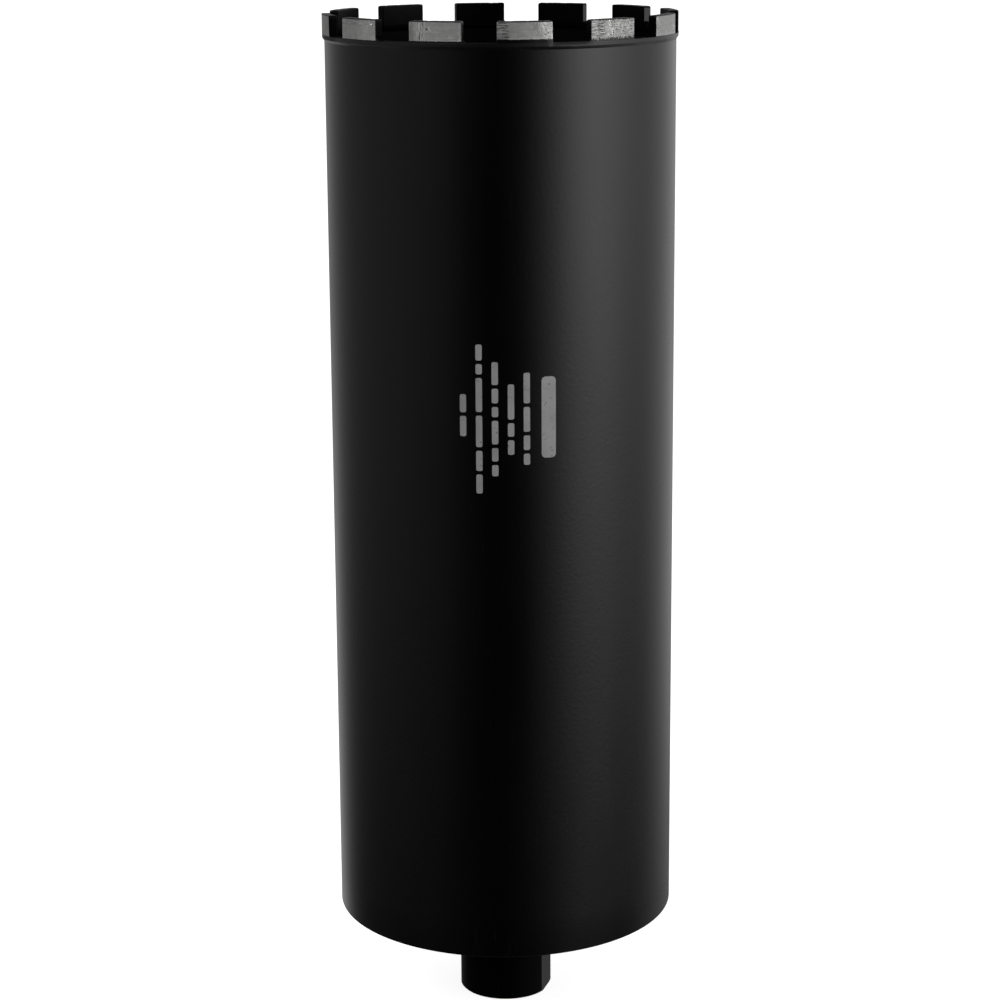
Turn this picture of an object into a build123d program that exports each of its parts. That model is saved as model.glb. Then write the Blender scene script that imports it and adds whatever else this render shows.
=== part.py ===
from build123d import *
import math
import os

# Diamond core bit, 160 mm cut, 1-1/4"-7 UNC female spindle thread.
# Lengths in millimetres, +Z from the shank towards the cutting crown.
# Origin: centre of the shank's end face. The spanner flats face +X and -X.

# --- overall heights -------------------------------------------------------
TOTAL_H = 467.0          # shank end face to segment tips
TUBE_BOTTOM_Z = 46.5     # underside of the closed end, where the shank starts
SEGMENT_H = 9.1          # segment height above the crown ring
RING_H = 3.0             # crown ring, from the tube's end to the slot floors

# --- diameters -------------------------------------------------------------
CUT_D = 160.0            # over the segments' outer faces
SEGMENT_T = 4.0          # radial thickness of segments and crown ring
TUBE_D = 158.0           # barrel outside
TUBE_WALL = 2.0          # barrel wall

# --- crown -----------------------------------------------------------------
SEGMENT_HALF_ANGLE = 8.65   # degrees, 24 mm of arc on the outer face
SEGMENT_CORNER_R = 0.45     # upright corners
SEGMENT_TOP_R = 0.30        # edge around the tip face
RING_BEVEL_R = 1.0          # radial step from ring to barrel, as a 1.4 mm high bevel
RING_BEVEL_H = 1.4
# centre of each segment, degrees from +X. The pitch is a little uneven.
SEGMENT_ANGLES = [
    -151.2, -122.8, -92.8, -64.95, -35.1, -6.15,
    25.45, 55.45, 85.25, 114.85, 144.9, 175.5,
]

# --- closed end ------------------------------------------------------------
PLATE_T = 10.0           # back plate, set into the tube's end
PLATE_HOLE_D = 36.0      # takes the shank's spigot
TUBE_FOOT_R = 0.6        # rounded outer edge at the closed end
TUBE_FOOT_CHAMFER = 0.25

# --- shank -----------------------------------------------------------------
SHANK_D = 43.6
SHANK_AF = 41.0          # across the two spanner flats
FLAT_LENGTH = 30.0       # from the mouth upwards
SHANK_CHAMFER = 0.6      # mouth, outer edge
SPIGOT_D = 36.0
THREAD_MAJOR_D = 31.75   # 1-1/4"-7 UNC
THREAD_DEPTH = 38.0
MOUTH_COUNTERSINK = 1.2
WATER_HOLE_D = 26.0      # from the thread through to the barrel
WATER_CONE_H = 2.4       # drill-point cone at the bottom of the threaded hole

# --- derived ---------------------------------------------------------------
CUT_R = CUT_D / 2
SEG_IN_R = CUT_R - SEGMENT_T
TUBE_R = TUBE_D / 2
TUBE_IN_R = TUBE_R - TUBE_WALL
SLOT_Z = TOTAL_H - SEGMENT_H
TUBE_TOP_Z = SLOT_Z - RING_H
PLATE_TOP_Z = TUBE_BOTTOM_Z + PLATE_T
THREAD_R = THREAD_MAJOR_D / 2
WATER_R = WATER_HOLE_D / 2


def turned(points):
    """Solid of revolution about Z from a closed list of (radius, height)."""
    profile = Plane.XZ * make_face(Polyline(*points, close=True))
    return revolve(profile, Axis.Z, 360)


def barrel_tube():
    # Plain steel tube, open at both ends. The foot of the outer wall is eased.
    r, z = TUBE_R, TUBE_BOTTOM_Z
    f = TUBE_FOOT_R
    steps = 6
    foot = [
        (r - f + f * math.sin(a), z + f - f * math.cos(a))
        for a in [math.pi / 2 * i / steps for i in range(steps + 1)]
    ]
    return turned(
        [(TUBE_IN_R, z)] + foot + [(r, TUBE_TOP_Z), (TUBE_IN_R, TUBE_TOP_Z)]
    )


def back_plate():
    # Thick disc inside the tube's end, welded flush with its edge.
    c = TUBE_FOOT_CHAMFER
    return turned(
        [
            (PLATE_HOLE_D / 2, TUBE_BOTTOM_Z),
            (TUBE_IN_R - c, TUBE_BOTTOM_Z),
            (TUBE_IN_R, TUBE_BOTTOM_Z + c),
            (TUBE_IN_R, PLATE_TOP_Z),
            (PLATE_HOLE_D / 2, PLATE_TOP_Z),
        ]
    )


def shank():
    # Turned boss with a spigot through the back plate, a threaded blind
    # socket below and a narrower water hole on to the inside of the barrel.
    outer_r, spigot_r = SHANK_D / 2, SPIGOT_D / 2
    body = turned(
        [
            (THREAD_R + MOUTH_COUNTERSINK, 0),
            (outer_r - SHANK_CHAMFER, 0),
            (outer_r, SHANK_CHAMFER),
            (outer_r, TUBE_BOTTOM_Z),
            (spigot_r, TUBE_BOTTOM_Z),
            (spigot_r, PLATE_TOP_Z),
            (WATER_R, PLATE_TOP_Z),
            (WATER_R, THREAD_DEPTH + WATER_CONE_H),
            (THREAD_R, THREAD_DEPTH),
            (THREAD_R, MOUTH_COUNTERSINK),
        ]
    )
    # Two spanner flats, open at the mouth end and stopped by a shoulder above.
    for side in (-1, 1):
        cutter = Box(
            20, 2 * SHANK_D, FLAT_LENGTH + 10,
            align=(Align.CENTER, Align.CENTER, Align.MIN),
        )
        body -= Pos(side * (SHANK_AF / 2 + 10), 0, -10) * cutter
    return body


def crown_ring():
    # Narrow ring brazed on the tube's end. Proud of the tube inside and out,
    # bevelled down to it on both sides.
    mid = SLOT_Z - (RING_H - RING_BEVEL_H)
    return turned(
        [
            (SEG_IN_R, SLOT_Z),
            (CUT_R, SLOT_Z),
            (CUT_R, mid),
            (CUT_R - RING_BEVEL_R, TUBE_TOP_Z),
            (TUBE_IN_R, TUBE_TOP_Z),
            (SEG_IN_R, mid),
        ]
    )


def segment(angle_deg):
    # Short curved block, radial ends, rounded upright corners and tip edge.
    h = math.radians(SEGMENT_HALF_ANGLE)

    def at(r, a):
        return (r * math.cos(a), r * math.sin(a))

    outline = (
        Line(at(SEG_IN_R, -h), at(CUT_R, -h))
        + ThreePointArc(at(CUT_R, -h), at(CUT_R, 0), at(CUT_R, h))
        + Line(at(CUT_R, h), at(SEG_IN_R, h))
        + ThreePointArc(at(SEG_IN_R, h), at(SEG_IN_R, 0), at(SEG_IN_R, -h))
    )
    block = extrude(make_face(outline), amount=SEGMENT_H)
    block = fillet(block.edges().filter_by(Axis.Z), SEGMENT_CORNER_R)
    block = fillet(block.faces().sort_by(Axis.Z)[-1].edges(), SEGMENT_TOP_R)
    return Rot(0, 0, angle_deg) * (Pos(0, 0, SLOT_Z) * block)


parts = {
    "barrel_tube": barrel_tube(),
    "back_plate": back_plate(),
    "shank": shank(),
    "crown_ring": crown_ring(),
}
for i, angle in enumerate(SEGMENT_ANGLES, start=1):
    parts["segment_%02d" % i] = segment(angle)

os.makedirs("parts", exist_ok=True)
for node, shape in parts.items():
    export_step(shape, "parts/%s.step" % node)
    box = shape.bounding_box()
    print(node, "volume %.1f mm3" % shape.volume, "size", box.size)
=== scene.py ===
import math

import bmesh
import bpy
import numpy as np
from mathutils import Matrix, Vector


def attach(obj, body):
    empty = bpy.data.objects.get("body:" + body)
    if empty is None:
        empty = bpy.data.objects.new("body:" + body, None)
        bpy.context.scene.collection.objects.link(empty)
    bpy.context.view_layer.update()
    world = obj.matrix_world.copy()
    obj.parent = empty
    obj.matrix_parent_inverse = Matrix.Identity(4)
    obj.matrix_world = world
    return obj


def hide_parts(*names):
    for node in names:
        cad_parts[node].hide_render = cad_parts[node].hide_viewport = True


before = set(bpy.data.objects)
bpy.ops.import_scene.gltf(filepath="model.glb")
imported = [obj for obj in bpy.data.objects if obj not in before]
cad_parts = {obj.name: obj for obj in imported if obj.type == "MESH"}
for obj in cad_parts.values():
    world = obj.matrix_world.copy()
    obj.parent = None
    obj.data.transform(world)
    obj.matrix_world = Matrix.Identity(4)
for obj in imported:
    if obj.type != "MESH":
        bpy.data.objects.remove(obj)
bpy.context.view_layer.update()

# ---------------------------------------------------------------------------
# Dimensions in millimetres, the same frame as the CAD row. Meshes are written
# in metres.
# ---------------------------------------------------------------------------
MM = 0.001
TOTAL_H = 467.0
TUBE_BOTTOM_Z = 46.5
SEGMENT_H = 9.1
SLOT_Z = TOTAL_H - SEGMENT_H
RING_H = 3.0
RING_BEVEL_H = 1.4
TUBE_TOP_Z = SLOT_Z - RING_H
CUT_R = 80.0
SEG_IN_R = 76.0
TUBE_R = 79.0
TUBE_IN_R = 77.0
PLATE_TOP_Z = 56.5
PLATE_HOLE_R = 18.0
SHANK_R = 21.8
SHANK_FLAT_X = 20.5
FLAT_LENGTH = 30.0
BORE_R = 15.875
THREAD_DEPTH = 38.0
MOUTH = 1.2
WATER_R = 13.0
WATER_CONE_H = 2.4
PITCH = 25.4 / 7.0
SEGMENT_HALF_ANGLE = 8.65
SEGMENT_ANGLES = [
    -151.2, -122.8, -92.8, -64.95, -35.1, -6.15,
    25.45, 55.45, 85.25, 114.85, 144.9, 175.5,
]
CAMERA_AZIMUTH = 17.6


# ---------------------------------------------------------------------------
# Mesh helpers
# ---------------------------------------------------------------------------
def link(obj):
    bpy.context.scene.collection.objects.link(obj)
    return obj


def mesh_object(name, verts, faces, sharp_deg=40.0):
    """An object from points in millimetres. Faces whose angle is above
    sharp_deg meet at a hard edge, the others are shaded as one surface."""
    mesh = bpy.data.meshes.new(name)
    mesh.from_pydata([tuple(float(c) * MM for c in v) for v in verts], [], faces)
    mesh.validate()
    bm = bmesh.new()
    bm.from_mesh(mesh)
    bmesh.ops.recalc_face_normals(bm, faces=bm.faces)
    bm.to_mesh(mesh)
    bm.free()
    mesh.polygons.foreach_set("use_smooth", [True] * len(mesh.polygons))
    mesh.set_sharp_from_angle(angle=math.radians(sharp_deg))
    mesh.update()
    return link(bpy.data.objects.new(name, mesh))


def arc_points(cx, cy, r, a0, a1, n):
    """Points on a circle in the (radius, height) plane, angles in degrees."""
    return [
        (cx + r * math.cos(math.radians(a0 + (a1 - a0) * i / n)),
         cy + r * math.sin(math.radians(a0 + (a1 - a0) * i / n)))
        for i in range(n + 1)
    ]


def spaced(p0, p1, step):
    """Points from p0 up to but not including p1, about step apart."""
    n = max(1, int(math.ceil(math.hypot(p1[0] - p0[0], p1[1] - p0[1]) / step)))
    return [(p0[0] + (p1[0] - p0[0]) * i / n, p0[1] + (p1[1] - p0[1]) * i / n)
            for i in range(n)]


def turned(name, profile, steps, sharp_deg=40.0, phase=0.0):
    """A closed (radius, height) profile turned about the Z axis."""
    n = len(profile)
    verts, faces = [], []
    for k in range(steps):
        a = 2 * math.pi * (k + phase) / steps
        ca, sa = math.cos(a), math.sin(a)
        verts += [(r * ca, r * sa, z) for r, z in profile]
    for k in range(steps):
        k2 = (k + 1) % steps
        for i in range(n):
            j = (i + 1) % n
            faces.append((k * n + i, k2 * n + i, k2 * n + j, k * n + j))
    return mesh_object(name, verts, faces, sharp_deg)


def rounded_profile(corners, n=4):
    """corners: (r, z, fillet radius) of a closed profile, each corner rounded."""
    out = []
    m = len(corners)
    for i in range(m):
        p = Vector(corners[i][:2])
        rad = corners[i][2]
        a = Vector(corners[i - 1][:2])
        b = Vector(corners[(i + 1) % m][:2])
        if rad <= 0:
            out.append((p.x, p.y))
            continue
        da, db = (a - p).normalized(), (b - p).normalized()
        ang = da.angle(db)
        t = rad / math.tan(ang / 2)
        t = min(t, 0.45 * (a - p).length, 0.45 * (b - p).length)
        rad_eff = t * math.tan(ang / 2)
        centre = p + (da + db).normalized() * (rad_eff / math.sin(ang / 2))
        s, e = p + da * t, p + db * t
        v0, v1 = s - centre, e - centre
        a0 = math.atan2(v0.y, v0.x)
        d = math.atan2(v1.y, v1.x) - a0
        while d > math.pi:
            d -= 2 * math.pi
        while d < -math.pi:
            d += 2 * math.pi
        for k in range(n + 1):
            q = a0 + d * k / n
            out.append((centre.x + rad_eff * math.cos(q), centre.y + rad_eff * math.sin(q)))
    return out


def subdivided(profile, step):
    """A closed profile with long runs divided into pieces of at most step."""
    out = []
    for i, p in enumerate(profile):
        q = profile[(i + 1) % len(profile)]
        out += spaced(p, q, step)
    return out


# ---------------------------------------------------------------------------
# Node material helpers
# ---------------------------------------------------------------------------
class Nodes:
    """Short calls for building a node tree."""

    def __init__(self, name):
        self.mat = bpy.data.materials.new(name)
        self.mat.use_nodes = True
        self.tree = self.mat.node_tree
        self.tree.nodes.clear()
        self.out = self.tree.nodes.new("ShaderNodeOutputMaterial")
        self.bsdf = self.tree.nodes.new("ShaderNodeBsdfPrincipled")
        self.tree.links.new(self.bsdf.outputs[0], self.out.inputs["Surface"])
        self.coord = self.tree.nodes.new("ShaderNodeTexCoord")

    def put(self, socket, value):
        if isinstance(value, bpy.types.NodeSocket):
            self.tree.links.new(value, socket)
        elif hasattr(value, "__len__") and socket.type == "RGBA" and len(value) == 3:
            socket.default_value = (*value, 1.0)
        else:
            socket.default_value = value

    def math(self, op, a, b=None, c=None, clamp=False):
        n = self.tree.nodes.new("ShaderNodeMath")
        n.operation = op
        n.use_clamp = clamp
        for i, v in enumerate((a, b, c)):
            if v is not None:
                self.put(n.inputs[i], v)
        return n.outputs[0]

    def scaled(self, vector, scale):
        n = self.tree.nodes.new("ShaderNodeVectorMath")
        n.operation = "MULTIPLY"
        self.put(n.inputs[0], vector)
        n.inputs[1].default_value = scale
        return n.outputs[0]

    def added(self, a, b):
        n = self.tree.nodes.new("ShaderNodeVectorMath")
        n.operation = "ADD"
        self.put(n.inputs[0], a)
        self.put(n.inputs[1], b)
        return n.outputs[0]

    def noise(self, vector, scale, detail=3.0, rough=0.5, distortion=0.0, colour=False):
        n = self.tree.nodes.new("ShaderNodeTexNoise")
        self.put(n.inputs["Vector"], vector)
        n.inputs["Scale"].default_value = scale
        n.inputs["Detail"].default_value = detail
        n.inputs["Roughness"].default_value = rough
        n.inputs["Distortion"].default_value = distortion
        return n.outputs["Color" if colour else "Fac"]

    def voronoi(self, vector, scale, feature="F1", output="Distance", randomness=1.0):
        n = self.tree.nodes.new("ShaderNodeTexVoronoi")
        n.feature = feature
        self.put(n.inputs["Vector"], vector)
        n.inputs["Scale"].default_value = scale
        n.inputs["Randomness"].default_value = randomness
        return n.outputs[output]

    def remap(self, value, a, b, c, d, smooth=False):
        n = self.tree.nodes.new("ShaderNodeMapRange")
        if smooth:
            n.interpolation_type = "SMOOTHSTEP"
        n.clamp = True
        self.put(n.inputs["Value"], value)
        for name, v in (("From Min", a), ("From Max", b), ("To Min", c), ("To Max", d)):
            self.put(n.inputs[name], v)
        return n.outputs["Result"]

    def mix(self, fac, a, b):
        """Mix of two numbers."""
        n = self.tree.nodes.new("ShaderNodeMix")
        n.data_type = "FLOAT"
        self.put(n.inputs[0], fac)
        self.put(n.inputs[2], a)
        self.put(n.inputs[3], b)
        return n.outputs[0]

    def mix_colour(self, fac, a, b, blend="MIX"):
        n = self.tree.nodes.new("ShaderNodeMix")
        n.data_type = "RGBA"
        n.blend_type = blend
        self.put(n.inputs[0], fac)
        self.put(n.inputs[6], a)
        self.put(n.inputs[7], b)
        return n.outputs[2]

    def ramp(self, value, stops, interpolation="LINEAR"):
        n = self.tree.nodes.new("ShaderNodeValToRGB")
        self.put(n.inputs[0], value)
        r = n.color_ramp
        r.interpolation = interpolation
        while len(r.elements) < len(stops):
            r.elements.new(0.5)
        for e, (pos, col) in zip(r.elements, stops):
            e.position = pos
            e.color = (*col, 1.0) if len(col) == 3 else col
        return n.outputs["Color"]

    def attribute(self, name):
        n = self.tree.nodes.new("ShaderNodeAttribute")
        n.attribute_type = "GEOMETRY"
        n.attribute_name = name
        return n.outputs["Fac"]

    def separate(self, vector):
        n = self.tree.nodes.new("ShaderNodeSeparateXYZ")
        self.put(n.inputs[0], vector)
        return n.outputs

    def combine(self, x, y, z):
        n = self.tree.nodes.new("ShaderNodeCombineXYZ")
        for i, v in enumerate((x, y, z)):
            self.put(n.inputs[i], v)
        return n.outputs[0]

    def bump(self, height, strength, distance, normal=None):
        n = self.tree.nodes.new("ShaderNodeBump")
        n.inputs["Strength"].default_value = strength
        n.inputs["Distance"].default_value = distance
        self.put(n.inputs["Height"], height)
        if normal is not None:
            self.put(n.inputs["Normal"], normal)
        return n.outputs[0]

    def principled(self, **values):
        for name, v in values.items():
            self.put(self.bsdf.inputs[name.replace("_", " ")], v)


# ---------------------------------------------------------------------------
# Materials. Object coordinates are in metres in every one of them.
# ---------------------------------------------------------------------------
def black_paint(name, tone=0.0030, rough=0.30, peel=1.0, dust=0.35, seed=0.0,
                level=0.5, scuffs=1.0, worn=False):
    """Sprayed satin black over steel: fine orange peel, slow changes in sheen,
    a little dust and some hairline handling marks."""
    m = Nodes(name)
    p = m.added(m.coord.outputs["Object"], (seed, seed * 1.7, seed * 0.6))
    # orange peel about 1.6 mm across and a finer grain in it
    peel_h = m.noise(p, 620.0, 2.0, 0.45)
    grain_h = m.noise(p, 2600.0, 2.0, 0.6)
    # a slow change in the sheen down and round the surface
    cloud = m.noise(m.scaled(p, (1.0, 1.0, 0.28)), 26.0, 4.0, 0.55)
    # hairline marks, mostly along the axis
    hair = m.noise(m.scaled(p, (1.0, 1.0, 0.045)), 900.0, 3.0, 0.62)
    hair_mask = m.noise(m.scaled(p, (1.0, 1.0, 0.5)), 34.0, 3.0, 0.5)
    hair = m.math("MULTIPLY", m.remap(hair, 0.635, 0.70, 0.0, 1.0, True),
                  m.remap(hair_mask, 0.56, 0.70, 0.0, scuffs, True))
    # settled dust: small pale flecks, few and far between
    fleck = m.voronoi(p, 480.0)
    fleck_pick = m.noise(p, 240.0, 2.0, 0.5)
    fleck = m.math("MULTIPLY", m.remap(fleck, 0.05, 0.12, 1.0, 0.0, True),
                   m.remap(fleck_pick, 0.66, 0.72, 0.0, dust, True))
    base = m.mix_colour(m.remap(cloud, 0.3, 0.7, 0.0, 1.0),
                        (tone * 0.75, tone * 0.75, tone * 0.78),
                        (tone * 1.3, tone * 1.3, tone * 1.3))
    base = m.mix_colour(m.math("MULTIPLY", hair, 0.5), base, (0.012, 0.012, 0.012))
    base = m.mix_colour(fleck, base, (0.05, 0.049, 0.047))
    # worn: a light grey patch where the mesh says, rubbed thin paint that also stands in for a lit face, a painted
    # highlight
    if worn:
        thin_and_lit = m.math("MULTIPLY", m.attribute("worn"), m.remap(grain_h, 0.35, 0.6, 0.55, 1.0))
        base = m.mix_colour(thin_and_lit, base, (0.070, 0.069, 0.067))
    r = m.remap(cloud, 0.25, 0.75, rough - 0.035, rough + 0.045)
    r = m.math("ADD", r, m.math("MULTIPLY", m.math("SUBTRACT", grain_h, 0.5), 0.06))
    r = m.math("ADD", r, m.math("MULTIPLY", hair, 0.10))
    if worn:
        r = m.math("ADD", r, m.math("MULTIPLY", m.attribute("dull"), 0.40))
    r = m.math("ADD", r, m.math("MULTIPLY", fleck, 0.35), clamp=True)
    n1 = m.bump(peel_h, 0.055 * peel, 0.0006)
    n2 = m.bump(grain_h, 0.05 * peel, 0.00012, n1)
    m.principled(Base_Color=base, Roughness=r, Normal=n2, Specular_IOR_Level=level)
    return m.mat


def segment_material():
    """One material for all twelve cutting segments. Face coordinates come from
    the mesh: along (mm from the segment's middle), up (mm above the slot floor),
    out (mm outwards from the inner face), edge (mm to the nearer end). The
    z_ attributes say how strongly each kind of detail shows at a point."""
    m = Nodes("segment_finish")
    p = m.coord.outputs["Object"]
    along, up = m.attribute("along"), m.attribute("up")
    out, edge = m.attribute("out"), m.attribute("edge")
    lo, tone = m.attribute("bare_from"), m.attribute("tone")
    ragged, seed = m.attribute("ragged"), m.attribute("seed")
    z_lines, z_ticks = m.attribute("z_lines"), m.attribute("z_ticks")
    z_grit, z_pits, z_worn = m.attribute("z_grit"), m.attribute("z_pits"), m.attribute("z_worn")
    z_light = m.attribute("z_light")
    shifted = m.math("ADD", along, seed)
    face = m.combine(shifted, up, m.math("MULTIPLY", seed, 3.1))

    # where the grinding has taken the paint off
    wander = m.noise(face, 0.9, 4.0, 0.65)
    wander_fine = m.noise(face, 3.2, 3.0, 0.6)
    shift = m.math("ADD",
                   m.math("MULTIPLY", m.math("SUBTRACT", wander, 0.5), ragged),
                   m.math("MULTIPLY", m.math("SUBTRACT", wander_fine, 0.5),
                          m.math("MULTIPLY", ragged, 0.9)))
    low_edge = m.math("SUBTRACT", m.math("SUBTRACT", up, lo), shift)
    low = m.remap(low_edge, -0.06, 0.10, 0.0, 1.0, True)
    top_edge = m.math("SUBTRACT", m.math("ADD", 8.66, m.math("MULTIPLY", shift, 0.4)), up)
    top = m.remap(top_edge, -0.05, 0.10, 0.0, 1.0, True)
    side_edge = m.math("ADD", edge, m.math("MULTIPLY", shift, 0.30))
    side = m.remap(side_edge, 0.12, 0.32, 0.0, 1.0, True)
    outer = m.remap(out, 3.88, 3.95, 0.0, 1.0, True)
    bare = m.math("MULTIPLY", m.math("MULTIPLY", low, top), m.math("MULTIPLY", side, outer))

    # ground metal: soft mottling, grinding lines along the arc, upright ticks
    mottle = m.noise(face, 0.55, 5.0, 0.6)
    smudge = m.noise(m.added(face, (9.1, 4.2, 1.0)), 0.33, 2.0, 0.45)
    fine = m.noise(face, 5.5, 3.0, 0.7)
    line = m.noise(m.combine(m.math("MULTIPLY", shifted, 0.20), m.math("MULTIPLY", up, 2.9), seed),
                   1.2, 3.0, 0.65)
    tick = m.noise(m.combine(m.math("MULTIPLY", shifted, 3.0), m.math("MULTIPLY", up, 0.22),
                             m.math("ADD", seed, 5.0)), 1.0, 3.0, 0.6)
    weak_line = m.noise(m.combine(m.math("MULTIPLY", shifted, 0.10), m.math("MULTIPLY", up, 1.6),
                                  m.math("ADD", seed, 2.0)), 1.2, 3.0, 0.6)

    # diamond grit: crystals standing in the matrix, each with its own facet
    coarse = m.added(face, (0.7, 0.2, 0.1))
    cell = m.voronoi(coarse, 1.05)
    cell_tone = m.voronoi(coarse, 1.05, output="Color")
    cell_value = m.separate(cell_tone)[0]
    small = m.added(face, (3.3, 1.7, 0.4))
    cell2 = m.voronoi(small, 1.75)
    cell2_tone = m.voronoi(small, 1.75, output="Color")
    cell2_value = m.separate(cell2_tone)[1]
    crystal = m.math("MULTIPLY", m.remap(cell, 0.22, 0.46, 1.0, 0.0, True),
                     m.remap(cell_value, 0.40, 0.52, 0.0, 1.0, True))
    crystal2 = m.math("MULTIPLY", m.remap(cell2, 0.18, 0.44, 1.0, 0.0, True),
                      m.remap(cell2_value, 0.48, 0.60, 0.0, 1.0, True))
    dark = m.math("MULTIPLY", m.remap(cell, 0.18, 0.42, 1.0, 0.0, True),
                  m.remap(cell_value, 0.30, 0.20, 0.0, 1.0, True))
    grains = m.math("MULTIPLY", z_grit, m.math("MAXIMUM", crystal, crystal2))
    # isolated pits left by grains that have fallen out; in the colour each pit is darkened as painted shade and
    # its rim lightened as a painted highlight
    pit_cell = m.voronoi(m.added(face, (5.0, 8.0, 2.0)), 0.95)
    pit = m.math("MULTIPLY", m.remap(pit_cell, 0.16, 0.30, 1.0, 0.0, True), z_pits, clamp=True)
    pit_rim_highlight = m.math("MULTIPLY", m.math("MULTIPLY", m.remap(pit_cell, 0.28, 0.34, 0.0, 1.0, True),
                                        m.remap(pit_cell, 0.40, 0.52, 1.0, 0.0, True)), z_pits)

    # tone differs per segment for the light each segment gets: painted light and shade on the ground metal
    value = m.math("MULTIPLY", tone, m.remap(mottle, 0.25, 0.75, 0.92, 1.08))
    value = m.math("MULTIPLY", value, m.remap(smudge, 0.3, 0.7, 0.93, 1.06))
    value = m.math("MULTIPLY", value, m.remap(fine, 0.2, 0.8, 0.97, 1.03))
    value = m.math("MULTIPLY", value, m.remap(weak_line, 0.3, 0.7, 0.95, 1.05))
    value = m.math("MULTIPLY", value,
                   m.math("ADD", 1.0, m.math("MULTIPLY", z_lines, m.remap(line, 0.40, 0.60, -0.85, 0.35, True))))
    value = m.math("MULTIPLY", value,
                   m.math("ADD", 1.0, m.math("MULTIPLY", z_ticks, m.remap(tick, 0.40, 0.60, -0.60, 0.90, True))))
    value = m.math("MULTIPLY", value, m.math("ADD", 1.0, m.math("MULTIPLY", grains, 1.5)))
    # light zones: patches of painted light and shade, lighter or darker spots laid on the ground metal
    value = m.math("MULTIPLY", value, m.math("ADD", 1.0, m.math("MULTIPLY", z_light, 0.35)))
    value = m.math("MULTIPLY", value,
                   m.math("SUBTRACT", 1.0, m.math("MULTIPLY", m.math("MULTIPLY", z_grit, dark), 0.9)))
    # painted shade in the pits and a painted highlight on their rims
    value = m.math("MULTIPLY", value, m.math("SUBTRACT", 1.0, m.math("MULTIPLY", pit, 0.92)))
    value = m.math("MULTIPLY", value, m.math("ADD", 1.0, m.math("MULTIPLY", pit_rim_highlight, 0.45)))
    value = m.math("MINIMUM", value, 0.96)
    metal = m.combine(value, m.math("MULTIPLY", value, 0.995), m.math("MULTIPLY", value, 0.985))

    paint_cloud = m.noise(p, 160.0, 4.0, 0.6)
    paint = m.mix_colour(m.remap(paint_cloud, 0.3, 0.7, 0.0, 1.0),
                         (0.0010, 0.0010, 0.0010), (0.0024, 0.0024, 0.0024))
    # rubbed paint where z_worn says, lighter grey that also stands in for a lit face: a painted highlight
    rubbed_and_lit = m.math("MULTIPLY", z_worn, m.remap(wander_fine, 0.35, 0.6, 0.5, 1.0))
    paint = m.mix_colour(rubbed_and_lit, paint, (0.070, 0.069, 0.067))
    m.principled(
        Base_Color=m.mix_colour(bare, paint, metal),
        Metallic=m.math("MULTIPLY", bare, 0.86),
    )
    rough_metal = m.math("SUBTRACT", m.remap(mottle, 0.25, 0.75, 0.44, 0.54),
                         m.math("MULTIPLY", grains, 0.20))
    # the paint is smooth on the ends and the inside, dusty on the tips
    tip = m.remap(up, 8.80, 8.95, 0.0, 1.0, True)
    rough_paint = m.math("ADD", m.remap(paint_cloud, 0.25, 0.75, 0.22, 0.32), m.math("MULTIPLY", tip, 0.45))
    m.principled(Roughness=m.mix(bare, rough_paint, rough_metal), Specular_IOR_Level=0.40)
    # relief: paint has its own grain and the metal sits a little below it
    paint_grain = m.noise(p, 1500.0, 3.0, 0.6)
    relief = m.math("SUBTRACT", grains, m.math("MULTIPLY", m.math("MULTIPLY", z_grit, dark), 0.9))
    relief = m.math("SUBTRACT", relief, pit)
    relief = m.math("ADD", relief, m.math("MULTIPLY", line, m.math("MULTIPLY", z_lines, 0.5)))
    relief = m.math("ADD", relief, m.math("MULTIPLY", fine, 0.12))
    height = m.mix(bare, m.math("ADD", m.math("MULTIPLY", paint_grain, 0.25), 0.75), relief)
    normal = m.bump(height, 0.42, 0.00012)
    # each crystal's facet leans its own way
    lean = m.scaled(m.added(m.mix_colour(m.remap(cell2_value, 0.45, 0.55, 0.0, 1.0), cell_tone, cell2_tone),
                            (-0.5, -0.5, -0.5)), (1.5, 1.5, 1.1))
    amount = m.math("MULTIPLY", grains, bare)
    n = m.tree.nodes.new("ShaderNodeVectorMath")
    n.operation = "SCALE"
    m.put(n.inputs[0], lean)
    m.put(n.inputs["Scale"], amount)
    facet = m.tree.nodes.new("ShaderNodeVectorMath")
    facet.operation = "NORMALIZE"
    m.put(facet.inputs[0], m.added(normal, n.outputs[0]))
    m.principled(Normal=facet.outputs[0])
    return m.mat


def turned_steel(name, seed=0.0):
    """Machined steel with a light oil film: turning rings and stains."""
    m = Nodes(name)
    p = m.added(m.coord.outputs["Object"], (seed, seed, 0.0))
    ring = m.noise(m.scaled(p, (0.02, 0.02, 1.0)), 2600.0, 3.0, 0.6)
    stain = m.noise(p, 95.0, 5.0, 0.6)
    grain = m.noise(p, 1400.0, 3.0, 0.6)
    base = m.mix_colour(m.remap(stain, 0.35, 0.7, 0.0, 1.0, True),
                        (0.42, 0.41, 0.395), (0.20, 0.185, 0.165))
    base = m.mix_colour(m.remap(grain, 0.62, 0.72, 0.0, 0.35, True), base, (0.07, 0.06, 0.05))
    rough = m.math("ADD", m.remap(stain, 0.3, 0.7, 0.26, 0.42),
                   m.math("MULTIPLY", m.math("SUBTRACT", ring, 0.5), 0.16))
    n1 = m.bump(ring, 0.22, 0.00008)
    m.principled(Base_Color=base, Roughness=rough, Metallic=1.0,
                 Normal=m.bump(grain, 0.10, 0.00005, n1))
    return m.mat


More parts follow.
